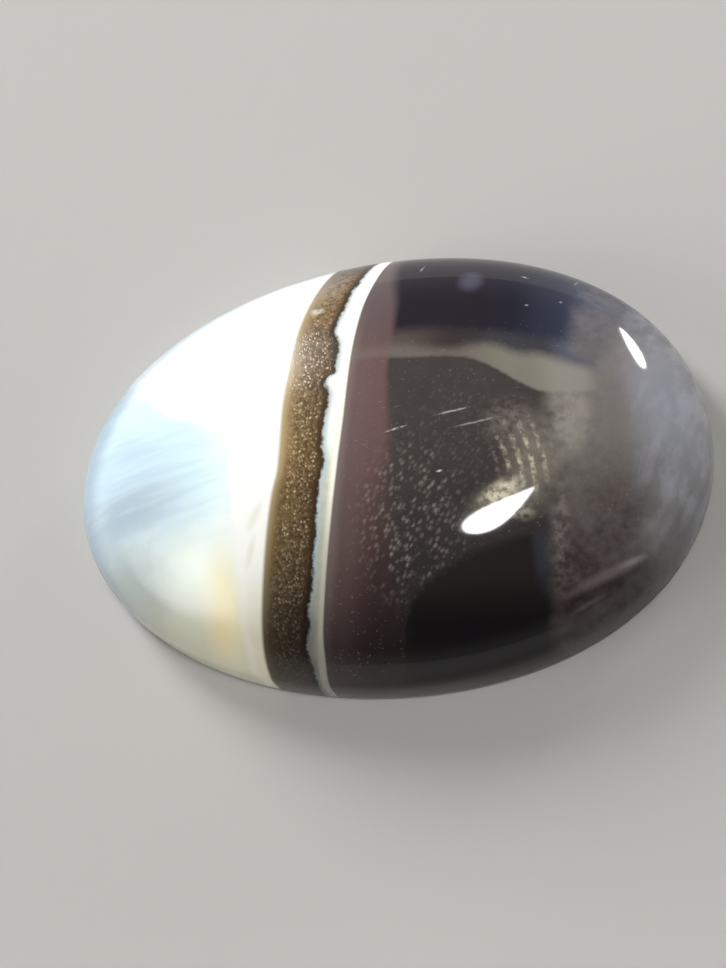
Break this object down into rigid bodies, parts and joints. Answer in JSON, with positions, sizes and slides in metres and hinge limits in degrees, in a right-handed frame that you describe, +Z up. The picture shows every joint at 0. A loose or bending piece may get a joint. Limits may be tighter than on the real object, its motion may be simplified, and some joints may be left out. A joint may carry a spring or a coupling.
{
  "type": "oval cabochon",
  "caption": "Oval cabochon of banded common opal: a polished dome on a low girdle with a flat back, milky at one end, smoky and cloudy at the other.",
  "frame": {"origin": "on the flat back, under the middle of the stone", "axes": "+X along the long axis, towards the cloudy end; +Y across the width; +Z up through the dome, out of the flat back"},
  "size_m": [0.03, 0.0212, 0.0069],
  "materials": {
    "banded_opal": "polished"
  },
  "bodies": {
    "root": {"cabochon": "banded_opal"}
  },
  "joints": []
}
